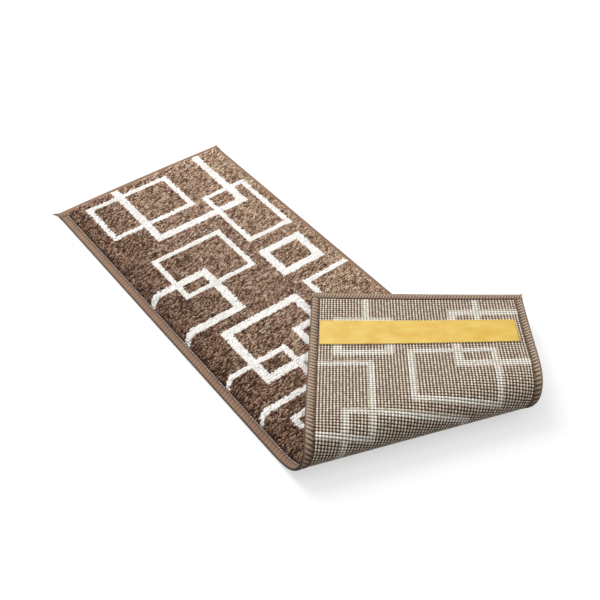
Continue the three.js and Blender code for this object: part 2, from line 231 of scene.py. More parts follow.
def make_piece(name, points, faces, material, uvs=None, replaces=(), slot=None, smooth=True):
    """A mesh object from flat points and a list of arrays of faces, folded."""
    mesh = bpy.data.meshes.new(name)
    place = bend(points).astype(np.float32)
    mesh.vertices.add(len(place))
    mesh.vertices.foreach_set("co", place.ravel())
    corners = np.concatenate([f.ravel() for f in faces]).astype(np.int32)
    sizes = np.concatenate([np.full(len(f), f.shape[1]) for f in faces])
    starts = np.concatenate([[0], np.cumsum(sizes)[:-1]]).astype(np.int32)
    mesh.loops.add(len(corners))
    mesh.loops.foreach_set("vertex_index", corners)
    mesh.polygons.add(len(sizes))
    mesh.polygons.foreach_set("loop_start", starts)
    mesh.update(calc_edges=True)
    mesh.polygons.foreach_set("use_smooth", np.full(len(sizes), smooth))
    for uv_name, values in (uvs or {}).items():
        layer = mesh.uv_layers.new(name=uv_name)
        per_corner = values if len(values) == len(corners) else values[corners]
        layer.data.foreach_set("uv", np.asarray(per_corner, np.float32).ravel())
    mesh.materials.append(material)
    obj = bpy.data.objects.new(name, mesh)
    bpy.context.scene.collection.objects.link(obj)
    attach(obj, "root")
    if replaces:
        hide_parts(*replaces)
    return obj


def second_material(obj, material, first_face, chosen):
    """Give the chosen ones of the faces from first_face on a second material."""
    obj.data.materials.append(material)
    index = np.zeros(len(obj.data.polygons), np.int32)
    index[first_face : first_face + len(chosen)] = chosen
    obj.data.polygons.foreach_set("material_index", index)


def copies(local, faces, count):
    """Face arrays for many copies of a small form of so many points."""
    offset = (np.arange(count) * local)[:, None, None]
    return [(f[None] + offset).reshape(-1, f.shape[1]) for f in faces]


def ring_faces(sides, rings, closed_top=True, closed_bottom=True):
    """Faces of a form of rings one over another, from the bottom up."""
    k = np.arange(sides)
    following = (k + 1) % sides
    quads = []
    for ring in range(rings - 1):
        low, high = ring * sides, (ring + 1) * sides
        quads.append(np.stack([low + k, low + following, high + following, high + k], axis=1))
    faces = [np.concatenate(quads)]
    if closed_bottom:
        faces.append(k[::-1][None])
    if closed_top:
        faces.append((k + (rings - 1) * sides)[None])
    return faces


def pointed_copies(sides, count):
    """Faces of many small forms, each of a low ring, a middle ring and a tip."""
    k = np.arange(sides)
    walls, bottom = ring_faces(sides, 2, closed_top=False)
    cap = np.stack([sides + k, sides + (k + 1) % sides, np.full(sides, 2 * sides)], axis=1)
    return copies(2 * sides + 1, [walls, cap, bottom], count)


def pointed_map(chance, sides, middle_height):
    """The map of such forms that their looks read: a chance value, and the height."""
    places = np.empty((len(chance), 2 * sides + 1, 2))
    places[..., 0] = chance[:, None]
    places[..., 1] = np.array([0.0] * sides + [middle_height] * sides + [1.0])[None]
    return places.reshape(-1, 2)


def closed_grid(x_lines, along_lines, top, bottom):
    """A closed slab over lines across and along, with a top and a bottom height."""
    nx, ny = len(x_lines), len(along_lines)
    gx, ga = np.meshgrid(x_lines, along_lines, indexing="ij")
    up = np.stack([gx, -ga, top(gx, ga)], axis=2).reshape(-1, 3)
    down = np.stack([gx, -ga, bottom(gx, ga)], axis=2).reshape(-1, 3)
    n = nx * ny
    index = np.arange(n).reshape(nx, ny)
    a, b = index[:-1, :-1].ravel(), index[1:, :-1].ravel()
    c, d = index[1:, 1:].ravel(), index[:-1, 1:].ravel()
    top_faces = np.stack([a, d, c, b], axis=1)
    bottom_faces = top_faces[:, ::-1] + n
    loop = np.concatenate([index[:-1, 0], index[-1, :-1], index[:0:-1, -1], index[0, :0:-1]])
    following = np.roll(loop, -1)
    walls = np.stack([loop, following, following + n, loop + n], axis=1)
    flat = np.stack([gx.ravel(), ga.ravel()], axis=1) / PER_METRE
    faces = [top_faces, bottom_faces, walls]
    return np.concatenate([up, down]), faces, np.concatenate([flat, flat])


# Node materials

WHITE = (1.0, 1.0, 1.0, 1.0)


def srgb(r, g, b):
    def channel(value):
        value /= 255.0
        return value / 12.92 if value <= 0.04045 else ((value + 0.055) / 1.055) ** 2.4

    return (channel(r), channel(g), channel(b), 1.0)


class Look:
    """A material and short ways to add nodes to it."""

    def __init__(self, name, roughness=0.9, sheen=0.0, specular=0.25):
        self.material = bpy.data.materials.new(name)
        self.material.use_nodes = True
        self.tree = self.material.node_tree
        self.shader = self.tree.nodes["Principled BSDF"]
        self.shader.inputs["Roughness"].default_value = roughness
        self.shader.inputs["Specular IOR Level"].default_value = specular
        self.shader.inputs["Sheen Weight"].default_value = sheen
        self.shader.inputs["Sheen Roughness"].default_value = 0.6

    def add(self, kind, **settings):
        node = self.tree.nodes.new(kind)
        for key, value in settings.items():
            setattr(node, key, value)
        return node

    def join(self, output, target):
        self.tree.links.new(output, target)

    def uv(self, name):
        return self.add("ShaderNodeUVMap", uv_map=name).outputs[0]

    def object_place(self):
        return self.add("ShaderNodeTexCoord").outputs["Object"]

    def split(self, vector):
        node = self.add("ShaderNodeSeparateXYZ")
        self.join(vector, node.inputs[0])
        return node.outputs

    def noise(self, vector, scale, detail=2.0, roughness=0.5):
        node = self.add("ShaderNodeTexNoise")
        node.inputs["Scale"].default_value = scale
        node.inputs["Detail"].default_value = detail
        node.inputs["Roughness"].default_value = roughness
        self.join(vector, node.inputs["Vector"])
        return node.outputs[0]

    def ramp(self, value, stops):
        node = self.add("ShaderNodeValToRGB")
        elements = node.color_ramp.elements
        while len(elements) < len(stops):
            elements.new(0.5)
        for element, (place, colour) in zip(elements, stops):
            element.position = place
            element.color = colour
        self.join(value, node.inputs[0])
        return node.outputs[0]

    def greys(self, value, stops):
        return self.ramp(value, [(place, (grey, grey, grey, 1.0)) for place, grey in stops])

    def grey(self, value, low, high, from_low=0.0, from_high=1.0):
        node = self.add("ShaderNodeMapRange")
        node.inputs["From Min"].default_value = from_low
        node.inputs["From Max"].default_value = from_high
        node.inputs["To Min"].default_value = low
        node.inputs["To Max"].default_value = high
        self.join(value, node.inputs["Value"])
        return node.outputs[0]

    def times(self, colour, value):
        node = self.add("ShaderNodeMix", data_type="RGBA", blend_type="MULTIPLY")
        node.inputs[0].default_value = 1.0
        self.join(colour, node.inputs[6])
        self.join(value, node.inputs[7])
        return node.outputs[2]

    def maths(self, operation, a, b):
        node = self.add("ShaderNodeMath", operation=operation)
        for socket, value in zip(node.inputs, (a, b)):
            if isinstance(value, (int, float)):
                socket.default_value = value
            else:
                self.join(value, socket)
        return node.outputs[0]

    def mixed(self, share, first, second):
        """Two shaders mixed by a number or by an output."""
        node = self.add("ShaderNodeMixShader")
        if isinstance(share, float):
            node.inputs[0].default_value = share
        else:
            self.join(share, node.inputs[0])
        self.join(first.outputs[0], node.inputs[1])
        self.join(second.outputs[0], node.inputs[2])
        return node

    def wave(self, vector, axis, pitch, phase=math.pi, distortion=0.0):
        """Bands of a pitch in millimetres, on a map in metres."""
        node = self.add("ShaderNodeTexWave", wave_type="BANDS", bands_direction=axis)
        node.inputs["Scale"].default_value = 2 * math.pi / 20.0 / (pitch / PER_METRE)
        node.inputs["Phase Offset"].default_value = phase
        node.inputs["Distortion"].default_value = distortion
        node.inputs["Detail"].default_value = 1.0
        self.join(vector, node.inputs["Vector"])
        return node.outputs[1]

    def bump(self, value, strength, distance):
        node = self.add("ShaderNodeBump")
        node.inputs["Strength"].default_value = strength
        node.inputs["Distance"].default_value = distance
        self.join(value, node.inputs["Height"])
        self.join(node.outputs[0], self.shader.inputs["Normal"])

    def colour(self, output):
        self.join(output, self.shader.inputs["Base Color"])

    def rough(self, output):
        self.join(output, self.shader.inputs["Roughness"])


# Places in metres, across and along, between which painted light and shade on the pile change:
# it is darker to its left, and changes a little towards its near and its far end
SHADED_ACROSS = (-0.16, 0.06)
SHADED_NEAR = (-0.1, 0.04)
SHADED_FAR = (0.05, 0.27)


def tuft_look(name, stops, root, middle, patch_low, sheen, painted_side_shade, near_light, far_light):
    look = Look(name, roughness=0.95, sheen=sheen, specular=0.1)
    chance, height, _ = look.split(look.uv("tuft"))
    colour = look.ramp(chance, stops)
    # painted shade: each tuft darker towards its root, deep in the pile
    colour = look.times(colour, look.ramp(height, [(0.3, root), (0.7, middle), (1.0, WHITE)]))
    patches = look.noise(look.object_place(), scale=38.0, detail=3.0)
    colour = look.times(colour, look.grey(patches, patch_low, 1.06, 0.3, 0.7))
    x, y, _ = look.split(look.object_place())
    # painted shade: darker to the left of the mat
    colour = look.times(colour, look.ramp(look.grey(x, 0.0, 1.0, *SHADED_ACROSS), painted_side_shade))
    # painted light and shade towards the near and the far end
    colour = look.times(colour, look.grey(y, near_light, 1.0, *SHADED_NEAR))
    look.colour(look.times(colour, look.grey(y, 1.0, far_light, *SHADED_FAR)))
    fibres = look.noise(look.object_place(), scale=2600.0)
    look.rough(look.grey(fibres, 0.86, 1.0))
    look.bump(fibres, strength=0.35, distance=0.0003)
    return look.material


def roots_look(name, low, high):
    look = Look(name, roughness=1.0)
    specks = look.noise(look.object_place(), scale=900.0)
    look.colour(look.ramp(specks, [(0.3, low), (0.7, high)]))
    look.rough(look.grey(specks, 0.9, 1.0))
    look.bump(specks, strength=0.5, distance=0.0005)
    return look.material


# Painted shade: dark bands on the backing lie between the rows of yarn, which are counted from the near end
FIRST_ROW = LENGTH - BODY_INSET - RIDGE_PITCH / 2
ROW_PHASE = -2 * math.pi * ((FIRST_ROW / RIDGE_PITCH) % 1.0) + math.pi


def backing_look(name, low, high):
    look = Look(name, roughness=0.95)
    flat = look.uv("flat")
    row_gaps = look.wave(flat, "Y", RIDGE_PITCH, ROW_PHASE, distortion=0.3)
    warp = look.wave(flat, "X", RIDGE_PITCH / 2, 0.0, distortion=0.4)
    specks = look.noise(look.object_place(), scale=1200.0, detail=3.0)
    colour = look.ramp(specks, [(0.25, low), (0.75, high)])
    # painted shade in the gaps between the rows of yarn
    colour = look.times(colour, look.grey(row_gaps, 0.22, 1.0, 0.05, 0.6))
    look.colour(look.times(colour, look.grey(warp, 0.8, 1.0)))
    look.rough(look.grey(specks, 0.85, 1.0))
    weave = look.maths("ADD", look.maths("ADD", row_gaps, warp), specks)
    look.bump(weave, strength=0.6, distance=0.0004)
    return look.material


def yarn_look(name, low, middle, high, groove):
    look = Look(name, roughness=0.9)
    chance, height, _ = look.split(look.uv("tuft"))
    colour = look.ramp(chance, [(0.0, low), (0.5, middle), (1.0, high)])
    # painted shade: each bead darker towards its foot, next to its neighbours
    colour = look.times(colour, look.ramp(height, [(0.0, groove), (1.0, WHITE)]))
    twist = look.noise(look.object_place(), scale=1800.0)
    look.colour(look.times(colour, look.grey(twist, 0.88, 1.05, 0.3, 0.7)))
    look.rough(look.grey(twist, 0.8, 1.0))
    look.bump(twist, strength=0.5, distance=0.0003)
    return look.material


# How light the edging is, from its inner edge on the back (0), round the rim (0.5),
# to its inner edge by the pile (1): partly the edging's own light and dark lines, partly painted
# shade, dark on its outer wall, under the roll and at both inner edges
EDGING_PAINTED_SHADE = [
    (0.0, 0.28), (0.07, 0.5), (0.14, 0.78), (0.24, 0.9), (0.32, 1.0), (0.39, 0.93), (0.43, 0.62),
    (0.46, 0.45), (0.485, 0.25), (0.525, 0.25), (0.55, 0.5), (0.585, 0.74), (0.7, 0.76), (0.86, 0.66),
    (0.9, 0.46), (0.925, 0.5), (0.965, 0.55), (0.985, 0.36), (1.0, 0.32),
]
# The threads stand apart on the back, and lie close on the outer roll and by the pile;
# their stripes are partly the threads' own pattern, partly painted light on the crests and painted shade
# between them
THREADS_APART = [(0.0, 1.0), (0.3, 0.9), (0.4, 0.35), (0.6, 0.28), (0.85, 0.28), (1.0, 0.5)]
EDGING_REACH = (-0.01, 0.01)


def edging_look():
    look = Look("serged_edging", roughness=0.85, sheen=0.05, specular=0.15)
    flat = look.uv("flat")
    round_the_rim = look.grey(look.split(flat)[1], 0.0, 1.0, *EDGING_REACH)
    # partly painted shade across the edging, partly its own lines
    painted_edging_shade = look.greys(round_the_rim, EDGING_PAINTED_SHADE)
    threads = look.wave(flat, "X", THREAD_PITCH, math.pi, distortion=0.3)
    apart = look.greys(round_the_rim, THREADS_APART)
    # painted light on the thread crests and painted shade between the threads
    lines = look.maths("ADD", 1.0, look.maths("MULTIPLY", apart, look.grey(threads, -0.85, 0.55)))
    strands = look.noise(flat, scale=1500.0)
    colour = look.ramp(strands, [(0.3, srgb(129, 107, 89)), (0.7, srgb(171, 148, 126))])
    # a little redder on the side of the pile
    redder = look.ramp(round_the_rim, [(0.45, srgb(255, 255, 255)), (0.56, srgb(250, 234, 229))])
    colour = look.times(look.times(colour, redder), look.times(painted_edging_shade, lines))
    patches = look.noise(look.object_place(), scale=60.0)
    look.colour(look.times(colour, look.grey(patches, 0.88, 1.05, 0.3, 0.7)))
    look.rough(look.grey(strands, 0.7, 0.95))
    look.bump(look.maths("ADD", threads, strands), strength=0.45, distance=0.0003)
    return look.material


def tape_look():
    look = Look("grip_tape", roughness=0.5, specular=0.4)
    stretched = look.add("ShaderNodeMapping")
    stretched.inputs["Scale"].default_value = (40.0, 62.0, 1.0)
    look.join(look.uv("flat"), stretched.inputs["Vector"])
    streaked = look.noise(stretched.outputs[0], scale=1.0, detail=4.0, roughness=0.6)
    patches = look.noise(look.object_place(), scale=45.0)
    cloudy = look.maths("ADD", look.maths("MULTIPLY", streaked, 0.7), look.maths("MULTIPLY", patches, 0.3))
    yellows = [(0.36, srgb(193, 155, 60)), (0.5, srgb(199, 165, 74)), (0.64, srgb(204, 176, 92))]
    look.colour(look.ramp(cloudy, yellows))
    look.rough(look.grey(streaked, 0.4, 0.7))
    look.bump(streaked, strength=0.25, distance=0.0002)
    return look.material


BROWN_TUFTS = tuft_look(
    "brown_cut_pile",
    stops=[
        (0.0, srgb(62, 34, 23)),
        (0.35, srgb(140, 108, 88)),
        (0.7, srgb(212, 184, 160)),
        (1.0, srgb(252, 244, 228)),
    ],
    # root and middle: painted shade low on each tuft
    root=srgb(74, 47, 37),
    middle=srgb(188, 174, 165),
    patch_low=0.86,
    sheen=0.1,
    # painted shade, darker to the left of the mat
    painted_side_shade=[
        (0.0, (0.49, 0.385, 0.325, 1.0)),
        (0.377, (0.77, 0.715, 0.665, 1.0)),
        (0.618, (0.83, 0.775, 0.735, 1.0)),
        (1.0, (1.0, 1.0, 0.93, 1.0)),
    ],
    # painted light, lighter towards the near and the far end
    near_light=1.16,
    far_light=1.09,
)
PALE_TUFTS = tuft_look(
    "pale_cut_pile",
    stops=[
        (0.0, srgb(219, 217, 213)),
        (0.5, srgb(236, 233, 229)),
        (1.0, srgb(246, 243, 240)),
    ],
    # root and middle: painted shade low on each tuft
    root=srgb(228, 228, 226),
    middle=srgb(242, 242, 241),
    patch_low=0.98,
    sheen=0.15,
    # painted shade, a little darker to the left of the mat
    painted_side_shade=[(0.0, (0.96, 0.96, 0.96, 1.0)), (1.0, WHITE)],
    # painted light, lighter towards the near end and darker towards the far end
    near_light=1.1,
    far_light=0.95,
)
# the dark brown of the brown pile's roots is partly painted shade deep among the tufts
PILE_BASE = roots_look("pile_roots", srgb(66, 42, 32), srgb(94, 65, 51))
PALE_BASE = roots_look("pale_pile_roots", srgb(218, 216, 211), srgb(232, 230, 226))
BACKING = backing_look("woven_backing", srgb(84, 64, 53), srgb(144, 120, 105))
PALE_BACKING = backing_look("woven_pale_backing", srgb(166, 156, 142), srgb(220, 213, 200))
# the last colour of each yarn look is painted shade at the feet of its beads
BACK_BEADS = yarn_look(
    "woven_back_yarn", srgb(196, 180, 158), srgb(228, 215, 194), srgb(246, 236, 219), srgb(134, 118, 106)
)
PALE_BEADS = yarn_look(
    "woven_back_pale_yarn", srgb(233, 229, 217), srgb(244, 239, 228), srgb(252, 247, 238), srgb(190, 186, 178)
)
EDGING = edging_look()
# the last colour of each stitch look is painted shade at the feet of the stitches
STITCHES_BACK = yarn_look(
    "stitching_thread_back", srgb(92, 71, 59), srgb(122, 97, 83), srgb(146, 120, 104), srgb(70, 54, 46)
)
STITCHES = yarn_look(
    "stitching_thread", srgb(176, 150, 132), srgb(204, 180, 162), srgb(222, 201, 184), srgb(120, 98, 84)
)
TAPE = tape_look()


# Pile: the grid of tufts
TUFT_PITCH = 1.65
ROW_PITCH = 3.3
X_FROM = BODY_INSET + 0.5
X_TO = WIDTH - BODY_INSET + OVERHANG - 0.6
ALONG_FROM = BODY_INSET + 0.7
ALONG_TO = LENGTH - BODY_INSET - 0.7
COLUMNS = int(round((X_TO - X_FROM) / TUFT_PITCH))
ROWS = 2 * int(round((ALONG_TO - ALONG_FROM) / ROW_PITCH))
ROW_CLOSENESS = 0.09
JITTER = 0.28 * TUFT_PITCH
WANDER = 0.55
WANDER_FINE = 0.3

# Its surface
RIGHT_ROUND = 2.5
RIGHT_DROP = 1.4
END_ROUND = 2.5
END_DROP = 0.9
STREAK = (0.956, 0.292)
STREAK_SHORTENED = 0.22
PIT_SIZE = 1.7
PIT_FROM = 0.1
PIT_OVER = 0.5
PIT_DEPTH = 1.0
PIT_PLACES = [10.0, 70.0, 230.0]
PIT_SHARES = [1.0, 0.5, 0.15]
UNEVEN = 0.15
UNEVEN_PATCH = 6.0
UNEVEN_STREAKS = 0.4
UNEVEN_TUFTS = 0.26
RAGGED_WIDTH = 6.0
RAGGED_SIDE = 1.5
RAGGED_PATCH = 2.2

# How its tufts lean to the right, least at the left shoulder, and where their roots end
LEAN = 2.9
LEAN_CHANGE = 0.8
LEAN_CHANCE = 0.5
LEAN_AT_SIDE = 0.7
LEAN_NEAR = 0.9
LEAN_NEAR_CHANGE = 0.4
LEAN_PATCH = 7.0
ROOT_INSETS = (1.2, 0.8, 1.0)
ROOT_BOTTOM = 2.95
ROOT_DEPTH = 4.8
DEEP_LEFT = 14.0
DEEP_RIGHT = 229.5
DEEP_END = 1.6

# Each tuft
THICKNESS = (0.9, 1.12)
TUFT_SIDES = 3
TUFT_LONG = 1.4
TUFT_NARROW = 0.8
TUFT_FOOT = 0.8
TUFT_MIDDLE = 0.84
TUFT_MIDDLE_SHADE = 0.75
BROWN_FULLNESS = 0.58
PALE_FULLNESS = 0.72
STAR_OUTER = 0.46
STAR_INNER = 0.3
FOLD_INSIDE_FROM = -25.0
THICKER_IN_FOLD = 1.4
CHANCE_MIDDLE = 0.55
CHANCE_SPREAD = 0.19
CHANCE_STREAKS = 0.45
PIT_PAINTED_SHADE = 0.3
CHANCE_PLACES = [10.0, 230.0]
CHANCE_SHARES = [1.15, 0.8]
BAND_RAGGED = 0.25


def pile_profile(x):
    """Height of the pile's surface across the mat."""
    share = np.clip((x - BODY_INSET) / SHOULDER, 0.0, 1.0)
    rounded = PILE_BOTTOM + PILE_HEIGHT * np.sqrt(np.clip(1 - (1 - share) ** 2, 0, 1))
    right = WIDTH - BODY_INSET + OVERHANG
    from_right = np.clip((right - x) / RIGHT_ROUND, 0.0, 1.0)
    return rounded - RIGHT_DROP * (1 - from_right) ** 2


def streaks(x, along):
    """Fine streaks of the pile, a few tufts long, to the right and a little to the far end."""
    along_streak = STREAK[0] * x - STREAK[1] * along
    over_streak = STREAK[1] * x + STREAK[0] * along
    return smooth_noise(along_streak * STREAK_SHORTENED, over_streak, 1.0, seed=2)


def pits(x, along):
    """Small gaps between clumps of tufts, deepest at the left of the mat."""
    gap = np.clip((smooth_noise(x, along, PIT_SIZE, seed=12) - PIT_FROM) / PIT_OVER, 0.0, 1.0)
    return gap * np.interp(x, PIT_PLACES, PIT_SHARES)


def tuft_grid():
    """Tips and roots of all the tufts of the pile, and their place in the grid."""
    i, j = np.meshgrid(np.arange(COLUMNS), np.arange(ROWS), indexing="ij")
    i, j = i.ravel(), j.ravel()
    count = len(i)
    x = X_FROM + (i + 0.5) * (X_TO - X_FROM) / COLUMNS
    # two tufts deep in each woven row, with a groove between rows that wander a little
    together = np.where(j % 2 == 0, ROW_CLOSENESS, -ROW_CLOSENESS)
    along = ALONG_FROM + (j + 0.5 + together) * (ALONG_TO - ALONG_FROM) / ROWS
    wander = WANDER * smooth_noise(x, along * 0.4, 11.0, seed=8)
    wander += WANDER_FINE * smooth_noise(x, along * 0.5, 4.0, seed=9)
    jitter = rng.uniform(-JITTER, JITTER, (count, 2))
    x, along = x + jitter[:, 0], along + jitter[:, 1] + wander
    along = np.clip(along, ALONG_FROM, ALONG_TO)
    # tips
    ends = np.minimum(along - ALONG_FROM, ALONG_TO - along)
    top = pile_profile(x) - END_DROP * np.clip(1 - ends / END_ROUND, 0, 1) ** 2
    top += UNEVEN * smooth_noise(x, along, UNEVEN_PATCH, seed=1) + UNEVEN_STREAKS * streaks(x, along)
    top += rng.uniform(-UNEVEN_TUFTS, UNEVEN_TUFTS, count) - PIT_DEPTH * pits(x, along)
    # roots
    lean = LEAN + LEAN_CHANGE * smooth_noise(x, along, LEAN_PATCH, seed=3)
    lean += rng.uniform(-LEAN_CHANCE, LEAN_CHANCE, count)
    root_x = x - np.minimum(lean, LEAN_AT_SIDE * (x - BODY_INSET))
    root_along = along + LEAN_NEAR + LEAN_NEAR_CHANGE * smooth_noise(x, along, LEAN_PATCH, seed=4)
    left_inset, right_inset, end_inset = ROOT_INSETS
    root_x = np.clip(root_x, BODY_INSET + left_inset, WIDTH - BODY_INSET - right_inset)
    root_along = np.clip(root_along, BODY_INSET + end_inset, LENGTH - BODY_INSET - end_inset)
    ragged_side = RAGGED_SIDE * np.clip((BODY_INSET + RAGGED_WIDTH - x) / RAGGED_WIDTH, 0.0, 1.0)
    x = x + ragged_side * smooth_noise(x, along, RAGGED_PATCH, seed=13)
    deep = (x > DEEP_RIGHT) | (ends < DEEP_END) | (x < DEEP_LEFT)
    root_z = np.where(deep, ROOT_BOTTOM, np.maximum(ROOT_BOTTOM, top - ROOT_DEPTH))
    tips = np.stack([x, -along, top], axis=1)
    roots = np.stack([root_x, -root_along, root_z], axis=1)
    return i, j, tips, roots


GRID_I, GRID_J, TIPS, ROOTS = tuft_grid()
ACROSS, ALONG = TIPS[:, 0], -TIPS[:, 1]
CHANCE = rng.normal(0.0, CHANCE_SPREAD, len(TIPS)) + CHANCE_STREAKS * streaks(ACROSS, ALONG)
CHANCE = CHANCE_MIDDLE + CHANCE * np.interp(ACROSS, CHANCE_PLACES, CHANCE_SHARES)
# painted shade: tufts sunk in the pits between clumps are darker
CHANCE = np.clip(CHANCE - PIT_PAINTED_SHADE * pits(ACROSS, ALONG), 0.0, 1.0)
SPIN = rng.uniform(0, 2 * math.pi, len(TIPS))
THICK = rng.uniform(*THICKNESS, len(TIPS)) * TUFT_PITCH
# inside the fold every other tuft stands for two
IN_FOLD = fold_distance(ACROSS, ALONG) > FOLD_INSIDE_FROM
THICK[IN_FOLD] *= THICKER_IN_FOLD
KEPT = ~IN_FOLD | ((GRID_I + GRID_J // 2) % 2 == 0)


def tufts(name, chosen, material, replaces, slot, fullness):
    """Cut-pile tufts: tapered forms with a full middle and a soft tip."""
    count = int(chosen.sum())
    tip, root = TIPS[chosen], ROOTS[chosen]
    angle = SPIN[chosen][:, None] + np.arange(TUFT_SIDES)[None] * 2 * math.pi / TUFT_SIDES
    out = np.stack([np.cos(angle), np.sin(angle), np.zeros_like(angle)], axis=2)
    # drawn out along the streaks of the pile, and narrower over them
    streak = np.array([STREAK[0], -STREAK[1], 0.0])
    out = TUFT_NARROW * out + (TUFT_LONG - TUFT_NARROW) * (out @ streak)[..., None] * streak
    radius = THICK[chosen][:, None, None] * fullness
    low = root[:, None] + out * radius * TUFT_FOOT
    middle = (root + (tip - root) * TUFT_MIDDLE)[:, None] + out * radius
    points = np.concatenate([low, middle, tip[:, None]], axis=1)
    faces = pointed_copies(TUFT_SIDES, count)
    # Each tuft opened out like a star in its own cell of the map
    cells = np.array([COLUMNS, ROWS])
    cell = np.stack([GRID_I[chosen] + 0.5, GRID_J[chosen] + 0.5], axis=1)[:, None]
    star = np.zeros((count, points.shape[1], 2))
    star[:, :TUFT_SIDES] = out[..., :2] * STAR_OUTER
    star[:, TUFT_SIDES:-1] = out[..., :2] * STAR_INNER
    corners = np.concatenate([f.ravel() for f in faces])
    star_corners = ((cell + star) / cells).reshape(-1, 2)[corners]
    # and its underside, in a corner of the same cell
    under = np.array([[0.02, 0.02], [0.05, 0.02], [0.02, 0.05]]) - 0.5
    star_corners[-TUFT_SIDES * count :] = ((cell + under[None]) / cells).reshape(-1, 2)
    uvs = {
        "tuft": pointed_map(CHANCE[chosen], TUFT_SIDES, TUFT_MIDDLE_SHADE),
        "OFBake": star_corners,
    }
    return make_piece(name, points.reshape(-1, 3), faces, material, uvs, replaces, slot)


def pile():
    """The bands of each group of rectangles, then the brown pile in three parts."""
    ragged = BAND_RAGGED * smooth_noise(ACROSS, ALONG, 2.0, seed=5)
    swung = ALONG + ragged - shoulder_swing(ACROSS)
    flat = before_curl(ACROSS, ALONG)
    brown = KEPT.copy()
    made = []
    for name, rectangles in PATTERNS.items():
        inside = in_bands(ACROSS + ragged, swung, rectangles) & flat & brown
        brown &= ~inside
        made.append(tufts(name + "_tufts", inside, PALE_TUFTS, (name,), "pale_pile", PALE_FULLNESS))
    parts = [
        ("pile_tufts_far", 0.0, 245.0),
        ("pile_tufts_middle", 245.0, 495.0),
        ("pile_tufts_near", 495.0, LENGTH),
    ]
    for name, part_from, part_to in parts:
        chosen = brown & (ALONG >= part_from) & (ALONG < part_to)
        made.append(tufts(name, chosen, BROWN_TUFTS, ("pile",), "pile", BROWN_FULLNESS))
    return made


# The dense roots under the tufts
BASE_SHOULDER_LINES = [11.8, 13.2, 14.8, 16.8, 19.2, 22.0]
BASE_FROM = 25.0
BASE_TO = 228.8
BASE_LINES_ACROSS = 52
BASE_LINES_ALONG = 185
BASE_END_INSET = 1.5
BASE_LOWEST = 3.3
BASE_UNDER_TIPS = 2.6
BASE_LEAN = 1.4
BASE_BAND_MARGIN = 0.2


def pile_base():
    """Dense roots under the tufts, so that no light passes between them."""
    x_lines = np.concatenate([BASE_SHOULDER_LINES, np.linspace(BASE_FROM, BASE_TO, BASE_LINES_ACROSS)])
    inset = BODY_INSET + BASE_END_INSET
    along_lines = np.linspace(inset, LENGTH - inset, BASE_LINES_ALONG)

    def top(x, along):
        return np.maximum(BASE_LOWEST, pile_profile(x) - BASE_UNDER_TIPS)

    def bottom(x, along):
        return np.full(x.shape, PILE_BOTTOM)

    points, faces, flat = closed_grid(x_lines, along_lines, top, bottom)
    obj = make_piece("pile_roots", points, faces, PILE_BASE, {"flat": flat}, ("pile",), "pile")
    centre = points[faces[0]].mean(axis=1)
    x, along = centre[:, 0], -centre[:, 1]
    pale = np.zeros(len(centre), bool)
    for rectangles in PATTERNS.values():
        pale |= in_bands(x + BASE_LEAN, along - shoulder_swing(x), rectangles, BASE_BAND_MARGIN)
    second_material(obj, PALE_BASE, 0, pale & before_curl(x, along))
    return obj


pile_pieces = pile() + [pile_base()]


# Woven back
GROUND_STEP = 10.1
RIM_LINES = np.array([RIM_INSET, 5.6, 10.0, BODY_INSET])
BEADS_FROM = 425.0
BEAD_SIDES = 6
BEAD_MIDDLE_SHADE = 0.8
BEAD_TOP_LENGTH = 0.44
BEAD_TOP_WIDTH = 0.4
BEAD_TOP_HEIGHT = 0.72
YARN_SUNK = 0.1
YARN_ASIDE = 0.12
YARN_ALONG = 0.15
YARN_CHANCE_SPREAD = 0.22
YARN_HEIGHTS = (0.6, 0.7)
YARN_LENGTH = 3.25
YARN_WIDTH = 2.4
PALE_YARN_LENGTH = 3.3
PALE_YARN_WIDTH = 2.75
RIB_LINES = 9
RIB_FOOT = 0.9
RIB_RIDGE = 0.5
RIB_LOWEST = 0.08


def ground_lines(size, inset, count):
    """Lines over the ground: the rim's at both sides, and even ones between them."""
    return np.concatenate([RIM_LINES, np.linspace(inset, size - inset, count), size - RIM_LINES[::-1]])


def backing_sheet():
    x_lines = ground_lines(WIDTH, 13.5, 66)
    along_lines = ground_lines(LENGTH, 14.0, 220)

    def in_body(x, along):
        across = np.abs(x - WIDTH / 2) < WIDTH / 2 - GROUND_STEP
        return across & (np.abs(along - LENGTH / 2) < LENGTH / 2 - GROUND_STEP)

    def top(x, along):
        return np.where(in_body(x, along), BACK_TOP, RIM_TOP)

    def bottom(x, along):
        return np.where(in_body(x, along), BACK_PLANE, RIM_BOTTOM)

    points, faces, flat = closed_grid(x_lines, along_lines, top, bottom)
    uvs = {"flat": flat}
    obj = make_piece("backing_sheet", points, faces, BACKING, uvs, ("backing",), "backing", smooth=False)
    over, under, _ = faces
    centre = points[under].mean(axis=1)
    pale = in_bands(centre[:, 0], -centre[:, 1], PATTERNS["pale_pile_fold"] + BACK_END)
    second_material(obj, PALE_BACKING, len(over), pale)
    return obj


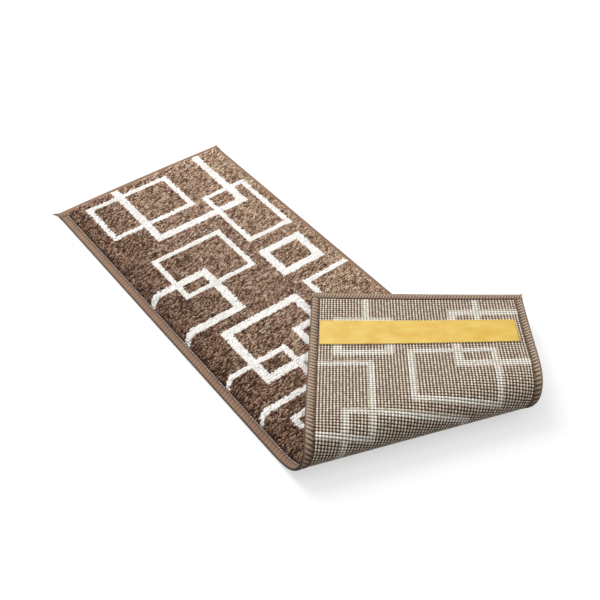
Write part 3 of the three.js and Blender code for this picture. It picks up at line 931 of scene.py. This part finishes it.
def bead_form(centre, along_axis, cross_axis, out_axis, length, width, height):
    """Small rounded forms lying on a surface. The axes are one for all, the sizes one each."""
    count = len(centre)
    angle = np.arange(BEAD_SIDES) * 2 * math.pi / BEAD_SIDES
    c, s = np.cos(angle)[None, :, None], np.sin(angle)[None, :, None]
    length, width, height = (np.asarray(v, float)[:, None, None] for v in (length, width, height))
    along_axis, cross_axis, out_axis = (np.array(v, float) for v in (along_axis, cross_axis, out_axis))
    centre = centre[:, None]
    low = centre + along_axis * c * length / 2 + cross_axis * s * width / 2
    high = centre + along_axis * c * length * BEAD_TOP_LENGTH
    high = high + cross_axis * s * width * BEAD_TOP_WIDTH + out_axis * height * BEAD_TOP_HEIGHT
    tip = centre + out_axis * height
    points = np.concatenate([low, high, tip], axis=1)
    chance = np.clip(rng.normal(0.5, YARN_CHANCE_SPREAD, count), 0, 1)
    uv = pointed_map(chance, BEAD_SIDES, BEAD_MIDDLE_SHADE)
    return points.reshape(-1, 3), pointed_copies(BEAD_SIDES, count), uv


def back_columns():
    """The middle of each lengthwise row of yarn on the back."""
    columns = int(round((WIDTH - 2 * BODY_INSET) / RIDGE_PITCH))
    return BODY_INSET + (np.arange(columns) + 0.5) * (WIDTH - 2 * BODY_INSET) / columns


def back_beads():
    rows = int((LENGTH - BODY_INSET - BEADS_FROM) / RIDGE_PITCH)
    rows_along = LENGTH - BODY_INSET - (np.arange(rows) + 0.5) * RIDGE_PITCH
    x, along = np.meshgrid(back_columns(), rows_along, indexing="ij")
    x, along = x.ravel(), along.ravel()
    x = x + rng.uniform(-YARN_ASIDE, YARN_ASIDE, len(x))
    along = along + rng.uniform(-YARN_ALONG, YARN_ALONG, len(x))
    pale_fold = in_bands(x, along, PATTERNS["pale_pile_fold"])
    pale_end = in_bands(x, along, BACK_END) & ~pale_fold
    pale_size = (PALE_YARN_LENGTH, PALE_YARN_WIDTH)
    groups = [
        ("back_yarn", ~(pale_fold | pale_end), BACK_BEADS, (), "backing", (YARN_LENGTH, YARN_WIDTH)),
        ("pale_back_fold_yarn", pale_fold, PALE_BEADS, ("pale_back_fold",), "pale_back", pale_size),
        ("pale_back_end_yarn", pale_end, PALE_BEADS, ("pale_back_end",), "pale_back", pale_size),
    ]
    made = []
    for name, chosen, material, replaces, slot, (length, width) in groups:
        count = int(chosen.sum())
        centre = np.stack([x[chosen], -along[chosen], np.full(count, BACK_PLANE + YARN_SUNK)], axis=1)
        # the three axes turn right-handed about the outward direction, which is down
        points, faces, uv = bead_form(
            centre,
            (0.0, -1.0, 0.0),
            (-1.0, 0.0, 0.0),
            (0.0, 0.0, -1.0),
            length * rng.uniform(0.94, 1.04, count),
            width * rng.uniform(0.92, 1.06, count),
            rng.uniform(*YARN_HEIGHTS, count),
        )
        made.append(make_piece(name, points, faces, material, {"tuft": uv}, replaces, slot))
    return made


def hidden_ribs():
    """Plain ridges on the underside where the mat lies on the floor."""
    x = back_columns()
    lines = np.linspace(BODY_INSET, BEADS_FROM - 1.0, RIB_LINES)
    foot = BACK_PLANE + YARN_SUNK
    outline = np.array(
        [[RIB_FOOT, foot], [-RIB_FOOT, foot], [-RIB_RIDGE, RIB_LOWEST], [RIB_RIDGE, RIB_LOWEST]]
    )
    sides = len(outline)
    points = np.empty((len(x), RIB_LINES, sides, 3))
    points[..., 0] = x[:, None, None] + outline[None, None, :, 0]
    points[..., 1] = -lines[None, :, None]
    points[..., 2] = outline[None, None, :, 1]
    faces = copies(sides * RIB_LINES, ring_faces(sides, RIB_LINES), len(x))
    faces = [f[:, ::-1] for f in faces]
    points = points.reshape(-1, 3)
    uvs = {"tuft": np.tile([0.5, 0.9], (len(points), 1))}
    return make_piece("back_ribs", points, faces, BACK_BEADS, uvs, ("backing",), "backing")


sheet = backing_sheet()
back_pieces = back_beads() + [hidden_ribs()]


# Serged edging: its outline by the distance in from the rim and the height, round the
# outside from the inner edge on the pile's side to the one on the back, then the inside
EDGE_OUTLINE = np.array(
    [
        [10.0, 2.7], [8.8, 2.92], [6.2, 3.12], [3.6, 3.3], [1.7, 3.12], [0.45, 2.5], [0.0, 1.7],
        [0.0, 1.1], [0.5, 0.4], [1.6, 0.06], [3.5, 0.0], [6.5, 0.0], [9.0, 0.0], [10.0, 0.12],
        [10.0, 0.6], [0.95, 0.6], [0.95, 2.3], [10.0, 2.3],
    ]
)
OUTER_POINTS = 14
RIM_FACE = 0.3
EDGE_MIDDLE = 1.45
THREAD_SLANT = 0.4
THREAD_STEPS = 6
GROOVE_DEPTH = 0.18
INNER_GROOVE_MORE = 0.2
INNER_FROM = 4.0
ROLL_HEIGHT = 0.45
ROLL_MIDDLE = 3.2
ROLL_HALF = 3.4
LIFTED_FROM = 440.0
LIFTED_OVER = 40.0

# The two rows of stitches on each side: height on the mat, way up, distance in from
# the rim, lean, length and pitch of a stitch, and look
STITCH_WIDTH = 1.4
STITCH_HEIGHT = 0.5
STITCH_ROWS = [
    ("stitches_top_", 2.8, 1.0, 9.5, 0.12, 2.9, 3.2, STITCHES),
    ("stitches_back_", 0.3, -1.0, 8.7, 1.1, 3.6, THREAD_PITCH, STITCHES_BACK),
]

# Start and end of the stitches on each side, the way in, how far the side's edging
# runs past them, and the pitch of its threads
SIDES = [
    ("left", (0, -BODY_INSET), (0, BODY_INSET - LENGTH), (1, 0), 0.0, SIDE_THREAD_PITCH),
    ("right", (WIDTH, -BODY_INSET), (WIDTH, BODY_INSET - LENGTH), (-1, 0), 0.0, SIDE_THREAD_PITCH),
    ("far", (BODY_INSET, 0), (WIDTH - BODY_INSET, 0), (0, -1), BODY_INSET, THREAD_PITCH),
    ("near", (BODY_INSET, -LENGTH), (WIDTH - BODY_INSET, -LENGTH), (0, 1), BODY_INSET, THREAD_PITCH),
]


def side_lines(start, end, inward):
    """Start, direction, way in and length of one side as arrays and a number."""
    start, end, inward = (np.array(v, float) for v in (start, end, inward))
    length = np.linalg.norm(end - start)
    return start, (end - start) / length, inward, length


def edging(name, start, end, inward, past, pitch, replaces):
    """Edging along one side of the flat mat, wrapped with fine threads."""
    start, direction, inward, length = side_lines(start, end, inward)
    start, length = start - direction * past, length + 2 * past
    s = np.linspace(0.0, length, int(round(length / pitch * THREAD_STEPS)) + 1)
    plan = start[None] + direction[None] * s[:, None]
    inset, height = EDGE_OUTLINE[None, :, 0], EDGE_OUTLINE[None, :, 1]
    wrapped = np.arange(len(EDGE_OUTLINE))[None] < OUTER_POINTS
    rim = wrapped & (inset < RIM_FACE)
    top = height > EDGE_MIDDLE
    along_threads = s[:, None] + THREAD_SLANT * inset
    groove = 0.5 - 0.5 * np.cos(2 * math.pi * along_threads / pitch)
    depth = np.where(wrapped, (GROOVE_DEPTH + INNER_GROOVE_MORE * (inset > INNER_FROM)) * groove, 0.0)
    # the back is a little rounder where the mat is off the floor
    lifted = np.clip((-plan[:, 1] - LIFTED_FROM) / LIFTED_OVER, 0.0, 1.0)[:, None]
    roll = ROLL_HEIGHT * np.clip(1 - ((inset - ROLL_MIDDLE) / ROLL_HALF) ** 2, 0.0, 1.0) * lifted
    up = np.where(top, -depth, depth - np.where(wrapped & ~rim, roll, 0.0))
    sides = len(EDGE_OUTLINE)
    points = np.empty((len(s), sides, 3))
    points[..., :2] = plan[:, None] + inward[None, None] * (inset + np.where(rim, depth, 0.0))[..., None]
    points[..., 2] = height + up
    faces = ring_faces(sides, len(s))
    # the rings turn one way or the other by the side that the edging is on
    if direction[0] * inward[1] - direction[1] * inward[0] > 0:
        faces = [f[:, ::-1] for f in faces]
    uv = np.empty((len(s), sides, 2))
    uv[..., 0] = along_threads / pitch * THREAD_PITCH / PER_METRE
    uv[..., 1] = np.where(top, inset, -inset) / PER_METRE
    uvs = {"flat": uv.reshape(-1, 2)}
    return make_piece(name, points.reshape(-1, 3), faces, EDGING, uvs, replaces, "edging")


def stitches(name, side, height, up, inset, lean, length_each, pitch, look):
    """One row of stitches along the inner edge of the edging."""
    start, direction, inward, length = side_lines(*side)
    count = int(length / pitch)
    s = (np.arange(count) + 0.5) * length / count
    place = start[None] + direction[None] * s[:, None] + inward[None] * inset
    centre = np.concatenate([place, np.full((count, 1), height)], axis=1)
    forward = np.array([*(direction + lean * inward), 0.0])
    forward /= np.linalg.norm(forward)
    out = np.array([0.0, 0.0, up])
    sizes = (np.full(count, size) for size in (length_each, STITCH_WIDTH, STITCH_HEIGHT))
    points, faces, uv = bead_form(centre, forward, np.cross(out, forward), out, *sizes)
    return make_piece(name, points, faces, look, {"tuft": uv}, (), "edging")


def all_edging():
    made = []
    for side_name, start, end, inward, past, pitch in SIDES:
        replaced = "edging_" + side_name
        made.append(edging(replaced + "_threads", start, end, inward, past, pitch, (replaced,)))
    for side_name, *side, _, _ in SIDES:
        for row_name, *row in STITCH_ROWS:
            made.append(stitches(row_name + side_name, side, *row))
    return made


TAIL_STRANDS = 3
TAIL_SIDES = 6
TAIL_RINGS = 7
TAIL_INSIDE = 3.0
TAIL_HEIGHT = 1.5
TAIL_TWIST = 0.45
TAIL_SPREAD = 0.75
TAIL_CLOSED = 0.1
TAIL_RADIUS = 0.95
TAIL_TAPER = 0.85
TAIL_TAPER_POWER = 1.6
TAILS = [
    ("tail_far_left", 0.0, 0.0, 10.0),
    ("tail_far_right", WIDTH, 0.0, 6.5),
    ("tail_near_left", 0.0, LENGTH, 5.5),
    ("tail_near_right", WIDTH, LENGTH, 5.0),
]


def tail(name, x, along, reach):
    """Thread tail at a corner: three strands that come together in a point."""
    out = np.array([1.0 if x > 0 else -1.0, -1.0 if along > 0 else 1.0]) / math.sqrt(2)
    side = np.array([-out[1], out[0]])
    t = np.linspace(0.0, 1.0, TAIL_RINGS)
    spread = TAIL_SPREAD * (1 - t) + TAIL_CLOSED
    radius = (TAIL_RADIUS * (1 - TAIL_TAPER * t**TAIL_TAPER_POWER))[:, None, None]
    angle = np.arange(TAIL_SIDES) * 2 * math.pi / TAIL_SIDES
    c, s = np.cos(angle)[None, :, None], np.sin(angle)[None, :, None]
    strands = []
    for k in range(TAIL_STRANDS):
        turn = 2 * math.pi * (k / TAIL_STRANDS + TAIL_TWIST * t)
        reached = -TAIL_INSIDE + reach * t
        aside = np.cos(turn) * spread
        centre_x = x + out[0] * reached + side[0] * aside
        centre_y = -along + out[1] * reached + side[1] * aside
        centre = np.stack([centre_x, centre_y, TAIL_HEIGHT + np.sin(turn) * spread], axis=1)
        ring = centre[:, None] + np.array([*side, 0.0]) * c * radius + np.array([0.0, 0.0, 1.0]) * s * radius
        strands.append(ring.reshape(-1, 3))
    points = np.concatenate(strands)
    faces = copies(TAIL_SIDES * TAIL_RINGS, ring_faces(TAIL_SIDES, TAIL_RINGS), TAIL_STRANDS)
    flat = np.stack([points[:, 0] + points[:, 1], points[:, 2]], axis=1) / PER_METRE
    return make_piece(name, points, faces, EDGING, {"flat": flat}, (), "edging")


edging_pieces = all_edging() + [tail(*each) for each in TAILS]


# Grip tapes
TAPE_LENGTH = 212.0
TAPE_WIDTH = 38.0
TAPE_CENTRE = 117.5
TAPE_THICKNESS = 0.45
TAPE_RAGGED = 0.35
TAPE_LOWER = 0.06
WRINKLES = 0.05
WEAVE_THROUGH = 0.03
WEAVE_THROUGH_PITCH = 3.2


def tape(name, middle, bottom_height, lines_across, lines_along, replaces):
    """A strip stuck to the back, with the weave and a few wrinkles showing through."""
    x_lines = np.linspace(TAPE_CENTRE - TAPE_LENGTH / 2, TAPE_CENTRE + TAPE_LENGTH / 2, lines_across)
    along_lines = np.linspace(middle - TAPE_WIDTH / 2, middle + TAPE_WIDTH / 2, lines_along)

    def top(x, along):
        return np.full(x.shape, bottom_height + TAPE_THICKNESS)

    def bottom(x, along):
        wrinkles = WRINKLES * smooth_noise(x, along * 3.0, 9.0, seed=6)
        weave = WEAVE_THROUGH * np.cos(2 * math.pi * along / WEAVE_THROUGH_PITCH)
        return bottom_height + wrinkles + weave + TAPE_LOWER

    points, faces, flat = closed_grid(x_lines, along_lines, top, bottom)
    ends = np.abs(points[:, 0] - TAPE_CENTRE) > TAPE_LENGTH / 2 - 0.1
    points[ends, 0] += TAPE_RAGGED * smooth_noise(points[ends, 0], -points[ends, 1], 2.2, seed=7)
    return make_piece(name, points, faces, TAPE, {"flat": flat}, replaces, "tape")


tape_pieces = [
    tape("tape_near", 687.0, -0.75, 107, 25, ("tape_near_end",)),
    tape("tape_far", 66.0, 0.0, 28, 8, ("tape_far_end",)),
]


# Floor, light and camera, in metres
FLOOR_HALF = 6.0
FLOOR_HEIGHT = -0.0004
FLOOR_GREY = 0.93
FLOOR_THROWN_BACK = 0.22
FLOOR_PLAIN_SHARE = 0.55
KEY_PLACE = (0.1, 1.05, 1.2)
KEY_SIZE = 1.3
KEY_ENERGY = 27.0
SKY_AT_SIDES = 0.1
SKY_OVERHEAD = 1.1
SENSOR_WIDTH = 36.0
LENS = 53.69
CAMERA_PLACE = (-0.46253, -0.58721, 0.73585)
CAMERA_FORWARD = (0.43069, 0.55419, -0.71231)
CAMERA_RIGHT = (0.79155, -0.61110, 0.00316)


def stage_floor():
    """A floor that looks white, and throws less light back up at the mat."""
    mesh = bpy.data.meshes.new("floor")
    corners = [(-1, -1), (1, -1), (1, 1), (-1, 1)]
    places = [(x * FLOOR_HALF, y * FLOOR_HALF, FLOOR_HEIGHT) for x, y in corners]
    mesh.from_pydata(places, [], [(0, 1, 2, 3)])
    look = Look("pale_floor", roughness=0.9, specular=0.0)
    look.shader.inputs["Base Color"].default_value = (FLOOR_GREY, FLOOR_GREY, FLOOR_GREY, 1.0)
    dim = look.add("ShaderNodeBsdfDiffuse")
    dim.inputs["Color"].default_value = (FLOOR_THROWN_BACK, FLOOR_THROWN_BACK, FLOOR_THROWN_BACK, 1.0)
    # part of what the camera sees of it is plain white, so that the shadow stays light
    seen = look.mixed(FLOOR_PLAIN_SHARE, look.shader, look.add("ShaderNodeEmission"))
    by_camera = look.add("ShaderNodeLightPath").outputs["Is Camera Ray"]
    surface = look.mixed(by_camera, dim, seen)
    look.join(surface.outputs[0], look.tree.nodes["Material Output"].inputs["Surface"])
    mesh.materials.append(look.material)
    obj = bpy.data.objects.new("floor", mesh)
    bpy.context.scene.collection.objects.link(obj)


def key_light():
    """A soft light from above the far end, turned to the middle of the mat."""
    data = bpy.data.lights.new("key", "AREA")
    data.shape = "DISK"
    data.size = KEY_SIZE
    data.energy = KEY_ENERGY
    obj = bpy.data.objects.new("key", data)
    bpy.context.scene.collection.objects.link(obj)
    obj.location = KEY_PLACE
    obj.rotation_euler = (-Vector(KEY_PLACE)).to_track_quat("-Z", "Y").to_euler()


def studio_world():
    """Soft white light from overhead, weaker from the sides, and a white background."""
    world = bpy.data.worlds.new("studio")
    bpy.context.scene.world = world
    world.use_nodes = True
    tree = world.node_tree
    background = tree.nodes["Background"]
    background.inputs["Color"].default_value = WHITE
    paths = tree.nodes.new("ShaderNodeLightPath")
    place = tree.nodes.new("ShaderNodeTexCoord")
    direction = tree.nodes.new("ShaderNodeSeparateXYZ")
    overhead = tree.nodes.new("ShaderNodeMapRange")
    overhead.interpolation_type = "SMOOTHSTEP"
    overhead.inputs["To Min"].default_value = SKY_AT_SIDES
    overhead.inputs["To Max"].default_value = SKY_OVERHEAD
    strength = tree.nodes.new("ShaderNodeMix")
    strength.inputs[3].default_value = 1.0
    tree.links.new(place.outputs["Generated"], direction.inputs[0])
    tree.links.new(direction.outputs["Z"], overhead.inputs["Value"])
    tree.links.new(paths.outputs["Is Camera Ray"], strength.inputs[0])
    tree.links.new(overhead.outputs[0], strength.inputs[2])
    tree.links.new(strength.outputs[0], background.inputs["Strength"])


def studio_camera():
    data = bpy.data.cameras.new("camera")
    data.sensor_width = SENSOR_WIDTH
    data.lens = LENS
    camera = bpy.data.objects.new("camera", data)
    bpy.context.scene.collection.objects.link(camera)
    forward = Vector(CAMERA_FORWARD).normalized()
    up = Vector(CAMERA_RIGHT).normalized().cross(forward).normalized()
    right = forward.cross(up).normalized()
    turn = Matrix((right, up, -forward)).transposed()
    camera.matrix_world = Matrix.Translation(CAMERA_PLACE) @ turn.to_4x4()
    bpy.context.scene.camera = camera


stage_floor()
key_light()
studio_world()
studio_camera()
bpy.context.scene.view_settings.view_transform = "Standard"
